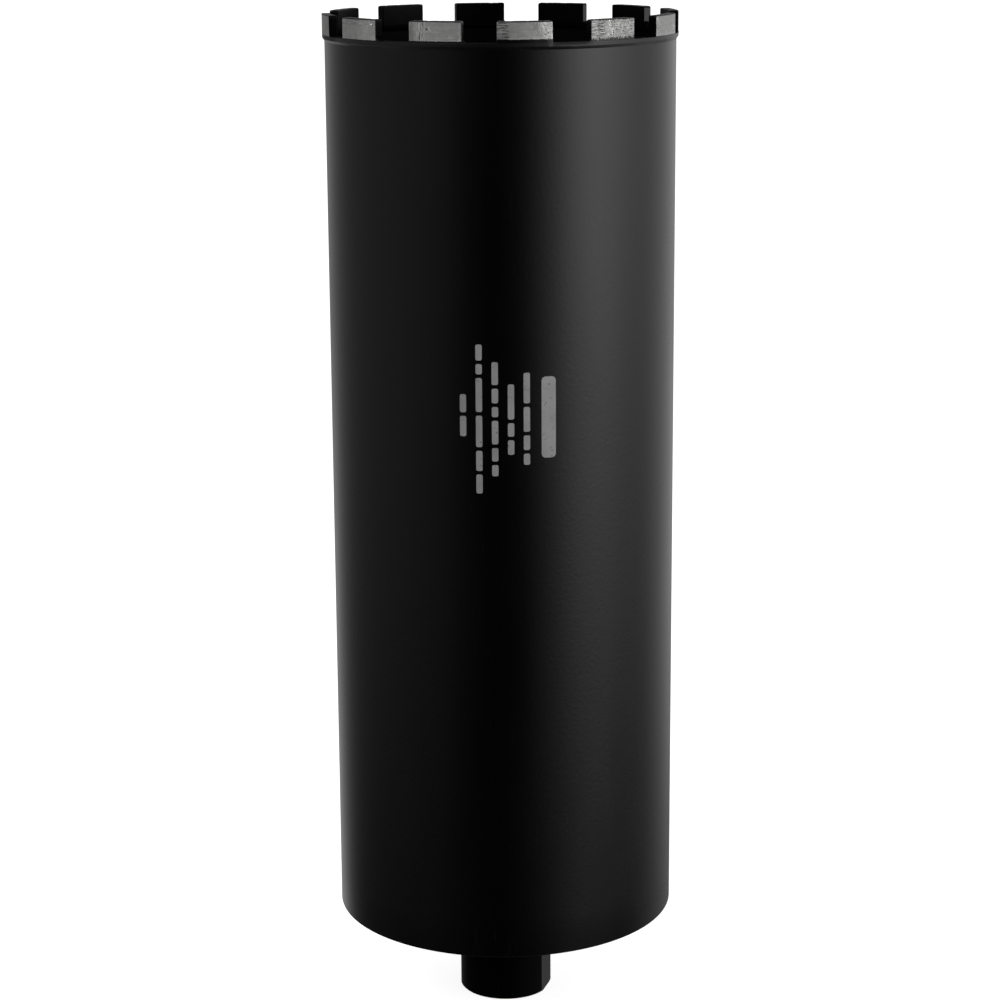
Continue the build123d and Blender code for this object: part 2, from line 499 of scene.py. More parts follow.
def ink_material():
    """Thin screen-printed ink, a little worn, over the paint's grain."""
    m = Nodes("mark_ink_print")
    p = m.coord.outputs["Object"]
    wear = m.noise(p, 700.0, 4.0, 0.7)
    cloud = m.noise(p, 90.0, 3.0, 0.5)
    grain = m.noise(p, 2600.0, 2.0, 0.6)
    base = m.mix_colour(m.remap(cloud, 0.3, 0.7, 0.0, 1.0),
                        (0.46, 0.46, 0.46), (0.58, 0.58, 0.58))
    base = m.mix_colour(m.remap(wear, 0.60, 0.70, 0.0, 0.75, True), base, (0.03, 0.03, 0.03))
    m.principled(Base_Color=base, Roughness=m.remap(wear, 0.3, 0.7, 0.42, 0.58),
                 Normal=m.bump(grain, 0.10, 0.00010), IOR=1.45)
    return m.mat


def floor_material():
    m = Nodes("studio_floor")
    p = m.coord.outputs["Object"]
    cloud = m.noise(p, 1.5, 3.0, 0.5)
    grain = m.noise(p, 220.0, 2.0, 0.5)
    base = m.mix_colour(m.remap(cloud, 0.3, 0.7, 0.0, 1.0), (0.90, 0.90, 0.90), (0.93, 0.93, 0.93))
    m.principled(Base_Color=base, Roughness=m.remap(grain, 0.3, 0.7, 0.85, 0.95),
                 Specular_IOR_Level=0.1, Emission_Color=(1.0, 1.0, 1.0, 1.0), Emission_Strength=0.86)
    return m.mat


BARREL_PAINT = black_paint("barrel_black", 0.0010, 0.25, 1.0, 0.12, 0.0)
INSIDE_PAINT = black_paint("inside_black", 0.0014, 0.50, 1.3, 0.4, 3.0, 0.06)
RING_PAINT = black_paint("ring_black", 0.0070, 0.28, 1.3, 0.25, 5.0, 0.52, worn=True)
MATT_PAINT = black_paint("slot_black", 0.0014, 0.75, 1.4, 0.10, 9.0, 0.025)
SHANK_PAINT = black_paint("shank_black", 0.0012, 0.55, 1.1, 0.3, 7.0, 0.04)
FLAT_PAINT = black_paint("flat_black", 0.0012, 0.28, 1.1, 0.3, 7.0, 0.16)
SEGMENT_PAINT = black_paint("segment_black", 0.0012, 0.30, 1.3, 0.10, 11.0, 0.08)
END_PAINT = black_paint("end_black", 0.0012, 0.28, 1.3, 0.10, 11.0, 0.40)
PLATE_PAINT = black_paint("plate_black", 0.0060, 0.40, 1.6, 0.5, 13.0, 0.5)
STEEL = turned_steel("thread_steel", 2.0)
SEGMENT = segment_material()
INK = ink_material()


def finish_piece(obj, material, slot, *nodes):
    if not obj.data.materials:
        obj.data.materials.append(material)
    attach(obj, "root")
    if nodes:
        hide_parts(*nodes)
    return obj


# ---------------------------------------------------------------------------
# Barrel: plain tube with an eased foot
# ---------------------------------------------------------------------------
def make_barrel():
    foot = arc_points(TUBE_R - 0.6, TUBE_BOTTOM_Z + 0.6, 0.6, -90, 0, 8)
    top = TUBE_TOP_Z + 0.05          # runs a little up inside the ring
    outer = spaced((TUBE_R, TUBE_BOTTOM_Z + 0.6), (TUBE_R, top), 18.0)[1:]
    inner = spaced((TUBE_IN_R, top), (TUBE_IN_R, TUBE_BOTTOM_Z), 18.0)
    profile = foot + outer + [(TUBE_R, top)] + inner + [(TUBE_IN_R, TUBE_BOTTOM_Z)]
    obj = turned("barrel_shell", profile, 360)
    obj.data.materials.append(BARREL_PAINT)
    obj.data.materials.append(INSIDE_PAINT)
    for poly in obj.data.polygons:
        r = math.hypot(poly.center.x, poly.center.y) / MM
        foot_edge = poly.center.z / MM < TUBE_BOTTOM_Z + 0.45
        poly.material_index = 1 if r < TUBE_R - 1.0 or foot_edge else 0
    return finish_piece(obj, BARREL_PAINT, "barrel_paint", "barrel_tube")


# ---------------------------------------------------------------------------
# Crown ring: proud of the tube, bevelled down to it outside and inside
# ---------------------------------------------------------------------------
def make_ring():
    mid = SLOT_Z - (RING_H - RING_BEVEL_H)
    profile = rounded_profile([
        (SEG_IN_R, SLOT_Z, 0.12),
        (CUT_R, SLOT_Z, 0.12),
        (CUT_R, mid, 0.22),
        (TUBE_R, TUBE_TOP_Z, 0.0),
        (TUBE_IN_R, TUBE_TOP_Z, 0.0),
        (SEG_IN_R, mid, 0.22),
    ], 4)
    obj = turned("ring_body", subdivided(profile, 0.5), 720, 50.0)
    # the face was dressed by hand: its height and radius wander a little
    worn, dull = [], []
    for v in obj.data.vertices:
        a, r, z = math.atan2(v.co.y, v.co.x), math.hypot(v.co.x, v.co.y) / MM, v.co.z / MM
        if r > TUBE_R + 0.05 and z < SLOT_Z - 0.2:
            wave = (math.sin(9 * a + 0.6) + 0.8 * math.sin(23 * a + 2.1)
                    + 0.6 * math.sin(41 * a + 4.4) + 0.4 * math.sin(77 * a + 1.3)) / 2.8
            wave2 = (math.sin(13 * a + 3.3) + 0.7 * math.sin(31 * a + 0.4)
                     + 0.5 * math.sin(59 * a + 5.0)) / 2.2
            share = min(1.0, (SLOT_Z - z) / 1.2)
            k = (r - (0.035 + 0.035 * wave) * share) / r
            v.co.x *= k
            v.co.y *= k
            if z > TUBE_TOP_Z + 0.15:
                droop = 0.5 - 0.5 * math.cos(min(1.0, max(0.0, (math.degrees(a) + 66) / 56)) * 2 * math.pi)
                v.co.z += (0.11 * wave2 - 0.22 * droop) * share * MM
        d = math.degrees(a)
        left = max(0.0, min(1.0, (-133 - d) / 6)) * (0.35 + 0.65 * max(0.0, min(1.0, (d + 152) / 3)))
        left *= max(0.0, min(1.0, (z - 455.9) / 0.3))
        band = max(0.0, min(1.0, (d + 56.4) / 1.0)) * max(0.0, min(1.0, (-42 - d) / 4))
        band *= max(0.0, min(1.0, (z - 456.7) / 0.5))
        dull.append(max(left, band))
        # a light grey patch under the fourth segment's right end: rubbed paint and a painted highlight for a lit
        # face
        patch = max(0.0, min(1.0, (d + 57.9) / 0.35)) * max(0.0, min(1.0, (-56.0 - d) / 0.35))
        worn.append(patch * max(0.0, min(1.0, (z - 456.0) / 0.3)))
    for name, values in (("worn", worn), ("dull", dull)):
        attribute = obj.data.attributes.new(name, "FLOAT", "POINT")
        attribute.data.foreach_set("value", np.array(values, np.float32))
    obj.data.materials.append(RING_PAINT)
    obj.data.materials.append(MATT_PAINT)
    for poly in obj.data.polygons:
        r = math.hypot(poly.center.x, poly.center.y) / MM
        outside = r > TUBE_R - 0.2 and poly.normal.z < 0.5
        poly.material_index = 0 if outside else 1
    return finish_piece(obj, RING_PAINT, "barrel_paint", "crown_ring")


# ---------------------------------------------------------------------------
# Cutting segments
# ---------------------------------------------------------------------------
def graded(lo, hi, r_lo, r_hi, steps, inner):
    """Coordinates from lo to hi with close steps inside each rounded margin."""
    out = [lo + r_lo * i / steps for i in range(steps)] if r_lo else []
    a, b = lo + r_lo, hi - r_hi
    out += [a + (b - a) * i / inner for i in range(inner)]
    out += [b + r_hi * i / steps for i in range(steps + 1)] if r_hi else [b]
    return out


def box_grid(xs, ys, zs):
    """The surface of a box on a grid, as points and outward faces."""
    index, verts, faces = {}, [], []

    def vid(i, j, k):
        key = (i, j, k)
        if key not in index:
            index[key] = len(verts)
            verts.append((xs[i], ys[j], zs[k]))
        return index[key]

    nx, ny, nz = len(xs) - 1, len(ys) - 1, len(zs) - 1
    for i in range(nx):
        for j in range(ny):
            faces.append((vid(i, j, 0), vid(i, j + 1, 0), vid(i + 1, j + 1, 0), vid(i + 1, j, 0)))
            faces.append((vid(i, j, nz), vid(i + 1, j, nz), vid(i + 1, j + 1, nz), vid(i, j + 1, nz)))
    for i in range(nx):
        for k in range(nz):
            faces.append((vid(i, 0, k), vid(i + 1, 0, k), vid(i + 1, 0, k + 1), vid(i, 0, k + 1)))
            faces.append((vid(i, ny, k), vid(i, ny, k + 1), vid(i + 1, ny, k + 1), vid(i + 1, ny, k)))
    for j in range(ny):
        for k in range(nz):
            faces.append((vid(0, j, k), vid(0, j, k + 1), vid(0, j + 1, k + 1), vid(0, j + 1, k)))
            faces.append((vid(nx, j, k), vid(nx, j + 1, k), vid(nx, j + 1, k + 1), vid(nx, j, k + 1)))
    return verts, faces


# per segment: lowest ground height above the slot floor, tone of the metal (set lighter or darker per segment
# for the light that segment gets: painted light and shade), raggedness of the paint's edge, seed, and zones of
# detail. A zone is its kind, its reach along the face and up it (mm), how soft its edge is, and its strength. The
# light zones are patches of painted light and shade, and the worn zone is rubbed paint that is also a painted
# highlight.
SEGMENT_LOOKS = [
    (0.20, 0.40, 0.50, 11.0, [("lines", -12, 12, 0, 9, 2, .2), ("grit", 8, 13, 0, 2, 1, .5)]),
    (0.20, 0.60, 0.50, 23.0, [("light", 1, 14, -2, 11, 6, .7), ("lines", -12, 12, 6.0, 8.8, 1, .35), ("grit", 6.5, 12, 4.5, 9, 1, .75),
                              ("pits", 6.5, 12, 4, 9, 1, 1.0), ("light", 8.6, 12, 0, 1.8, .6, 1.4)]),
    (0.70, 0.70, 0.50, 37.0, [("light", -14, -9.6, -2, 11, 1.5, -.9), ("ticks", -8.3, -4.6, 0, 9, .5, 1.0), ("pits", -4.6, -1.2, 4.6, 7.2, .5, 1.0),
                              ("light", -3.9, -3.1, 5.2, 6.2, .3, -2.4), ("light", -2.9, -1.8, 5.2, 6.4, .3, 1.7),
                              ("pits", -12, -9, 5.5, 9, .8, .8), ("light", 10.6, 12, 0, 8, .5, .7),
                              ("lines", -12, 12, 0, 9, 3, .12), ("light", 6, 9.5, .4, 4, 1.5, .25)]),
    (1.50, 0.70, 0.70, 41.0, [("lines", -12, -7.0, 0, 9, 1.2, 1.0), ("ticks", 3.6, 8, 4, 9, .8, .5),
                              ("grit", 7.9, 13, 0, 9, .4, 1.0), ("light", 7.9, 13, 0, 9, .4, .4), ("pits", 7.9, 13, 0, 9, .4, .8),
                              ("light", -12, 13, 1.3, 2.1, .4, .55), ("lines", -7, 7, 0, 9, 2, .12)]),
    (1.05, 0.43, 4.00, 59.0, [("lines", -12, -5, 2, 9, 1.5, 1.0), ("grit", -9, 12, 0, 9, 1.5, 1.0),
                              ("ticks", -2.5, 0.5, 2, 9, .8, .7), ("pits", -12, 12, 5, 9, 1.5, .4),
                              ("lines", -6, 12, 0, 9, 2, .35)]),
    (0.20, 0.48, 0.90, 61.0, [("grit", -12, -9.0, 0, 9, .8, 1.0), ("grit", 7.5, 12, 0, 4, 1, .9),
                              ("lines", -12, 12, 0, 9, 2, .15), ("light", -12, 12, .2, 1.0, .5, .35)]),
    (0.35, 0.50, 0.40, 73.0, [("grit", 0, 12, 0, 9, 2, .5), ("lines", -12, 0, 0, 9, 2, .5)]),
    (0.60, 0.50, 0.50, 83.0, [("grit", -3, 12, 3, 9, 2, .6), ("ticks", -10, -5, 0, 9, 1, .6)]),
    (0.25, 0.50, 0.30, 97.0, [("lines", -12, 12, 4, 9, 2, .5), ("pits", 3, 9, 3, 8, 1, .7)]),
    (0.90, 0.52, 0.60, 103.0, [("grit", 2, 12, 0, 9, 1.5, .8), ("lines", -12, -4, 0, 9, 2, .7)]),
    (0.40, 0.50, 0.35, 113.0, [("grit", -12, -5, 0, 9, 1.5, .6), ("ticks", 4, 8, 2, 9, 1, .6)]),
    (0.30, 0.48, 0.30, 127.0, [("lines", -12, 12, 0, 9, 3, .3), ("grit", 6, 12, 4, 9, 1, .7)]),
]
ZONES = ("lines", "ticks", "grit", "pits", "light", "worn")


def zone_weight(zone, along, up):
    _, a0, a1, u0, u1, soft, strength = zone

    def inside(v, lo, hi):
        d = min(v - lo, hi - v) / soft + 0.5
        d = max(0.0, min(1.0, d))
        return d * d * (3 - 2 * d)

    return strength * inside(along, a0, a1) * inside(up, u0, u1)


def make_segment(number, angle, looks):
    half = SEGMENT_HALF_ANGLE
    arc_per_deg = math.radians(1.0) * 78.0       # mm of arc at mid thickness
    hs = half * arc_per_deg
    corner, tip = 0.45, 0.30
    us = graded(-hs, hs, corner, corner, 4, 44)
    ts = graded(0.0, 4.0, corner, corner, 4, 7)
    zs = graded(-0.03, SEGMENT_H, 0.0, tip, 4, 18)
    verts, faces = box_grid(us, ts, zs)
    bare_from, tone, ragged, seed, zones = looks
    # the ring's grey patch runs on up the foot of this segment's right end: rubbed paint and a painted highlight
    if number == 4:
        zones = zones + [("worn", 9.9, 13, -1, 1.6, .3, 1.0)]
    rng = np.random.default_rng(int(seed))
    # a few low waves on the outer face, so that it is not a perfect cylinder
    waves = [(rng.uniform(0.25, 0.9), rng.uniform(0.2, 0.9), rng.uniform(0, 6.28),
              rng.uniform(0.006, 0.014)) for _ in range(6)]
    wear_lo, wear_hi = rng.uniform(0.6, 1.1, 2)
    dips = [(rng.uniform(-hs, hs), rng.uniform(0.3, 0.9), rng.uniform(0.03, 0.12)) for _ in range(7)]

    def edge_dip(u):
        return sum(depth * math.exp(-((u - at) / width) ** 2) for at, width, depth in dips)

    placed, rows = [], []
    for u, t, z in verts:
        cu = min(max(u, -hs + corner), hs - corner)
        ct = min(max(t, corner), 4.0 - corner)
        cz = min(z, SEGMENT_H - tip)
        # upright corners first, then the edge round the tip
        du, dt = u - cu, t - ct
        if du and dt:
            length = math.hypot(du, dt)
            k = max(abs(du), abs(dt)) / length
            du, dt = du * k, dt * k
        dz = z - cz
        side = math.hypot(du, dt) / corner         # 0 inside, 1 on a side face
        if dz > 0 and side > 0:
            h = dz / tip
            length = math.hypot(side, h)
            k = max(side, h) / length
            # keep the outline where it is below the rounding
            du, dt = du * k, dt * k
            dz = dz * k
        nu, nt, nz = cu + du, ct + dt, cz + dz
        # the tip's corners are worn round, and its edge is a little uneven
        reach = wear_hi if nu > 0 else wear_lo
        eu, ez = abs(nu) - (hs - reach), nz - (SEGMENT_H - reach)
        if eu > 0 and ez > 0:
            k = max(eu, ez) / math.hypot(eu, ez)
            nu = math.copysign(hs - reach + eu * k, nu)
            nz = SEGMENT_H - reach + ez * k
        nz -= max(0.0, nz - 8.2) / 0.9 * edge_dip(nu)
        r = SEG_IN_R + nt
        if nt > 3.9:
            inside = min((hs - abs(nu)) / 2.0, (SEGMENT_H - nz) / 1.5, 1.0)
            dent = sum(a * (0.5 + 0.5 * math.sin(fu * nu + fz * nz + ph))
                       for fu, fz, ph, a in waves)
            r -= max(0.0, inside) * dent
        a = math.radians(angle + nu / arc_per_deg)
        placed.append((r * math.cos(a), r * math.sin(a), SLOT_Z + nz))
        rows.append((nu * CUT_R / 78.0, nz, nt, hs - abs(nu)))
    obj = mesh_object("tip_%02d" % number, placed, faces, 60.0)
    mesh = obj.data
    columns = {
        "along": [r[0] for r in rows], "up": [r[1] for r in rows],
        "out": [r[2] for r in rows], "edge": [r[3] for r in rows],
    }
    for name, value in (("bare_from", bare_from), ("tone", tone), ("ragged", ragged), ("seed", seed)):
        columns[name] = [value] * len(rows)
    for kind in ZONES:
        columns["z_" + kind] = [
            min(1.0, sum(zone_weight(z, r[0], r[1]) for z in zones if z[0] == kind)) for r in rows
        ]
    for name, data in columns.items():
        attribute = mesh.attributes.new(name, "FLOAT", "POINT")
        attribute.data.foreach_set("value", np.array(data, np.float32))
    mesh.materials.append(SEGMENT)
    mesh.materials.append(SEGMENT_PAINT)
    mesh.materials.append(END_PAINT)
    for poly in mesh.polygons:
        depth = sum(rows[i][2] for i in poly.vertices) / len(poly.vertices)
        poly.material_index = 0 if depth > 3.70 else 1
        # the two ends that the braze never reached kept a smoother coat
        if number in (8, 9) and depth <= 3.70 and max(rows[i][3] for i in poly.vertices) < 0.06:
            poly.material_index = 2
    return finish_piece(obj, SEGMENT, "cutting_segment", "segment_%02d" % number)


# ---------------------------------------------------------------------------
# Braze: small concave fillets where the segments' ends meet the slot floors
# ---------------------------------------------------------------------------
# radius of the fillet (mm) at each segment's lower-angle and higher-angle end
BRAZE = [
    (1.0, 1.5), (1.2, 2.2), (1.4, 1.8), (0.9, 0.7), (0.7, 0.6), (0.6, 0.9),
    (0.9, 1.3), (2.3, 0.8), (0.8, 1.2), (1.2, 0.9), (0.7, 1.1), (1.0, 1.2),
]


def make_braze():
    verts, faces = [], []
    rng = np.random.default_rng(5)
    steps_r, steps_a = 9, 9
    for (lo_r, hi_r), angle in zip(BRAZE, SEGMENT_ANGLES):
        for sign, radius in ((-1, lo_r), (1, hi_r)):
            base = len(verts)
            wob = rng.uniform(0, 6.28)
            ring = steps_a + 2
            for i in range(steps_r + 1):
                t = 0.10 + 3.80 * i / steps_r
                rad = radius * (1.0 + 0.10 * math.sin(1.7 * t + wob))
                # section: corner point, then the concave arc from floor to wall
                section = [(-0.05, -0.05)]
                for k in range(steps_a + 1):
                    q = math.pi / 2 * k / steps_a
                    section.append((rad - rad * math.sin(q), rad - rad * math.cos(q)))
                section[1] = (rad, -0.03)
                section[-1] = (-0.03, rad)
                r = SEG_IN_R + t
                for s, z in section:
                    # s runs away from the segment's end, along the slot floor
                    a = math.radians(angle + sign * (SEGMENT_HALF_ANGLE + math.degrees(s / r)))
                    verts.append((r * math.cos(a), r * math.sin(a), SLOT_Z + z))
            for i in range(steps_r):
                for k in range(ring):
                    k2 = (k + 1) % ring
                    faces.append((base + i * ring + k, base + i * ring + k2,
                                  base + (i + 1) * ring + k2, base + (i + 1) * ring + k))
            faces.append(tuple(base + k for k in range(ring)))
            faces.append(tuple(base + steps_r * ring + k for k in range(ring)))
    obj = mesh_object("braze_fillets", verts, faces, 50.0)
    obj.data.materials.append(MATT_PAINT)
    obj.data.materials.append(RING_PAINT)
    for poly in obj.data.polygons:
        outward = Vector((poly.center.x, poly.center.y, 0)).normalized()
        poly.material_index = 1 if poly.normal.dot(outward) > 0.8 else 0
    return finish_piece(obj, MATT_PAINT, "barrel_paint")


# ---------------------------------------------------------------------------
# Closed end: back plate, shank with two flats, thread
# ---------------------------------------------------------------------------
def make_plate():
    profile = rounded_profile([
        (PLATE_HOLE_R, TUBE_BOTTOM_Z, 0.0),
        (TUBE_IN_R, TUBE_BOTTOM_Z, 0.25),
        (TUBE_IN_R, PLATE_TOP_Z, 0.0),
        (PLATE_HOLE_R, PLATE_TOP_Z, 0.0),
    ], 3)
    obj = turned("end_plate", subdivided(profile, 7.0), 360, 50.0)
    return finish_piece(obj, PLATE_PAINT, "barrel_paint", "back_plate")


def make_shank():
    """The turned body as rings of points, with the two flats pressed in as a
    limit on |x| for the part below the shoulder."""
    steps = 240
    outer = []
    c = 0.6
    # mouth chamfer and outer wall, close steps round the shoulder
    heights = [0.0, 0.06, 0.2, 0.4, 0.54, c, 0.8]
    heights += [1.6 + (FLAT_LENGTH - 2.4) * i / 12 for i in range(13)]
    heights += [FLAT_LENGTH - 0.25, FLAT_LENGTH, FLAT_LENGTH + 0.02, FLAT_LENGTH + 0.3]
    heights += [34.0, 38.0, 42.0, TUBE_BOTTOM_Z]
    for z in heights:
        r = SHANK_R - max(0.0, c - z)
        outer.append((r, z, z <= FLAT_LENGTH))
    spigot = [(PLATE_HOLE_R, TUBE_BOTTOM_Z, False), (PLATE_HOLE_R, PLATE_TOP_Z, False)]
    inner = [
        (WATER_R, PLATE_TOP_Z, False), (WATER_R, THREAD_DEPTH + WATER_CONE_H, False),
        (BORE_R, THREAD_DEPTH, False), (BORE_R, 30.0, False), (BORE_R, 20.0, False),
        (BORE_R, 10.0, False), (BORE_R, MOUTH, False), (BORE_R + MOUTH, 0.0, False),
    ]
    profile = outer + spigot + inner
    n = len(profile)
    verts, faces = [], []
    # angles crowded at the flats' corners
    half = math.acos(SHANK_FLAT_X / SHANK_R)
    angles = []
    for centre in (0.0, math.pi):
        angles += [centre - half + 2 * half * i / 40 for i in range(41)]
    for start in (half, math.pi + half):
        span = math.pi - 2 * half
        angles += [start + span * (i + 1) / 81 for i in range(80)]
    angles = sorted(a % (2 * math.pi) for a in angles)
    steps = len(angles)
    for a in angles:
        ca, sa = math.cos(a), math.sin(a)
        for r, z, flat in profile:
            x, y = r * ca, r * sa
            if flat and abs(x) > SHANK_FLAT_X:
                x = math.copysign(SHANK_FLAT_X, x)
            verts.append((x, y, z))
    for k in range(steps):
        k2 = (k + 1) % steps
        for i in range(n):
            j = (i + 1) % n
            faces.append((k * n + i, k2 * n + i, k2 * n + j, k * n + j))
    obj = mesh_object("shank_body", verts, faces, 12.0)
    obj.data.materials.append(SHANK_PAINT)
    obj.data.materials.append(FLAT_PAINT)
    for poly in obj.data.polygons:
        level = abs(poly.normal.x) > 0.99 and abs(abs(poly.center.x) / MM - SHANK_FLAT_X) < 0.05
        poly.material_index = 1 if level else 0
    bevel = obj.modifiers.new("eased_edges", "BEVEL")
    bevel.width = 0.00012
    bevel.segments = 2
    bevel.limit_method = "ANGLE"
    bevel.angle_limit = math.radians(20)
    return finish_piece(obj, SHANK_PAINT, "shank_finish", "shank")


def make_thread():
    """The crests of the 7 per inch female thread, as one right-hand helix."""
    minor = 14.0
    verts, faces = [], []
    per_turn = 96
    z0, z1 = 2.95, 35.8
    total = int((z1 - z0) / PITCH * per_turn)
    root_half, crest_half = 1.55, 0.45
    section_n = 6
    for i in range(total + 1):
        a = 2 * math.pi * i / per_turn
        zc = z0 + PITCH * i / per_turn
        rise = min(1.0, i / 30.0) * min(1.0, (total - i) / 60.0)
        rise = rise * rise * (3 - 2 * rise)
        base = BORE_R + 0.06
        for dz, inward in ((-root_half, 0.0), (-root_half + 0.04, 0.09), (-crest_half, 1.0),
                           (crest_half, 1.0), (root_half - 0.04, 0.09), (root_half, 0.0)):
            z = zc + dz
            depth = (BORE_R - minor) * rise
            r = BORE_R - (inward if inward >= 1.0 else inward * 0.2) * depth
            if inward == 0.0:
                r = base
            # the mouth's countersink cuts the first crests back
            r = max(r, min(base, BORE_R + MOUTH - z))
            verts.append((r * math.cos(a), r * math.sin(a), z))
    for i in range(total):
        for k in range(section_n):
            k2 = (k + 1) % section_n
            faces.append((i * section_n + k, i * section_n + k2,
                          (i + 1) * section_n + k2, (i + 1) * section_n + k))
    faces.append(tuple(range(section_n)))
    faces.append(tuple(total * section_n + k for k in range(section_n)))
    obj = mesh_object("shank_thread", verts, faces, 25.0)
    return finish_piece(obj, STEEL, "bare_steel")


def make_weld():
    """The bead that joins the shank to the back plate, laid in short ripples."""
    verts, faces = [], []
    steps, section_n = 420, 10
    leg = 3.2
    rng = np.random.default_rng(12)
    phase = rng.uniform(0, 6.28, 4)
    for i in range(steps):
        a = 2 * math.pi * i / steps
        ripple = 0.5 + 0.5 * math.sin(a * 62 + 0.8 * math.sin(a * 5 + phase[0]))
        size = leg * (1.0 + 0.05 * math.sin(3 * a + phase[1]) + 0.03 * math.sin(7 * a + phase[2]))
        for k in range(section_n):
            q = math.pi / 2 * k / (section_n - 1)
            bulge = 0.80 + 0.045 * ripple * math.sin(2 * q)
            # a convex bead between the plate (k = 0) and the shank (last k)
            x = size * (1 - math.sin(q) * bulge) if 0 < k < section_n - 1 else (size if k == 0 else -0.05)
            y = size * (1 - math.cos(q) * bulge) if 0 < k < section_n - 1 else (-0.05 if k == 0 else size)
            verts.append(((SHANK_R + x) * math.cos(a), (SHANK_R + x) * math.sin(a), TUBE_BOTTOM_Z - y))
        verts.append(((SHANK_R - 0.05) * math.cos(a), (SHANK_R - 0.05) * math.sin(a), TUBE_BOTTOM_Z + 0.05))
    ring = section_n + 1
    for i in range(steps):
        i2 = (i + 1) % steps
        for k in range(ring):
            k2 = (k + 1) % ring
            faces.append((i * ring + k, i2 * ring + k, i2 * ring + k2, i * ring + k2))
    obj = mesh_object("shank_weld", verts, faces, 60.0)
    return finish_piece(obj, PLATE_PAINT, "barrel_paint")


# ---------------------------------------------------------------------------
# Print place: plain bars and dashes of ink, no lettering
# ---------------------------------------------------------------------------
# row: centre angle (degrees), width across (mm), top z, lengths of its bars (mm)
PRINT_ROWS = [
    (-57.7, 6.4, 315.0, (36.0,)),
    (-64.75, 2.8, 317.0, (13.5, 11.0, 6.5, 5.0)),
    (-69.75, 2.8, 312.0, (15.5, 6.0, 6.5)),
    (-74.8, 2.8, 321.8, (10.0, 6.5, 4.5, 10.5, 6.0, 5.0)),
    (-79.85, 2.8, 329.5, (7.0, 4.5, 15.0, 14.0, 9.0, 8.5)),
    (-84.95, 2.8, 307.5, (8.0, 9.0)),
]
PRINT_GAP = 1.6


def make_print():
    verts, faces = [], []
    r = TUBE_R + 0.03

    def bar(angle, width, z_top, z_bottom, radius):
        """A rounded bar of ink wrapped on the barrel, 0.03 mm proud of it."""
        w, h = width / 2, (z_top - z_bottom) / 2
        radius = min(radius, w * 0.98, h * 0.98)
        zc = (z_top + z_bottom) / 2
        across = sorted({-w, w, -w + radius * 0.3, w - radius * 0.3, -w + radius, w - radius,
                         *[-w + radius + (2 * w - 2 * radius) * i / 6 for i in range(7)]})
        rows = []
        for s in across:
            over = max(0.0, abs(s) - (w - radius))
            half = h - radius + math.sqrt(max(0.0, radius * radius - over * over))
            rows.append((s, half))
        base = len(verts)
        for depth in (r, TUBE_R - 0.02):
            for s, half in rows:
                a = math.radians(angle) + s / TUBE_R
                for z in (-half, half):
                    verts.append((depth * math.cos(a), depth * math.sin(a), zc + z))
        n = len(rows)
        for i in range(n - 1):
            p, q = base + 2 * i, base + 2 * (i + 1)
            back = 2 * n
            faces.append((p, q, q + 1, p + 1))
            faces.append((p + back, p + 1 + back, q + 1 + back, q + back))
            faces.append((p, p + back, q + back, q))
            faces.append((p + 1, q + 1, q + 1 + back, p + 1 + back))
        for p in (base, base + 2 * (n - 1)):
            faces.append((p, p + 1, p + 1 + 2 * n, p + 2 * n))

    for angle, width, z, lengths in PRINT_ROWS:
        for length in lengths:
            bar(angle, width, z, z - length, 0.7 if width < 4 else 1.6)
            z -= length + PRINT_GAP
    obj = mesh_object("print_marks", verts, faces, 60.0)
    return finish_piece(obj, INK, "mark_ink")


make_barrel()
make_ring()
for number, (angle, looks) in enumerate(zip(SEGMENT_ANGLES, SEGMENT_LOOKS), start=1):
    make_segment(number, angle, looks)
make_braze()
make_plate()
make_shank()
make_thread()
make_weld()
make_print()


# ---------------------------------------------------------------------------
# Floor, world, lights, camera
# ---------------------------------------------------------------------------
def make_floor():
    mesh = bpy.data.meshes.new("studio_floor")
    s = 30.0
    mesh.from_pydata([(-s, -s, 0), (s, -s, 0), (s, s, 0), (-s, s, 0)], [], [(0, 1, 2, 3)])
    obj = link(bpy.data.objects.new("studio_floor", mesh))
    obj.data.materials.append(floor_material())
    obj.visible_glossy = False
    obj.visible_diffuse = False
    return obj


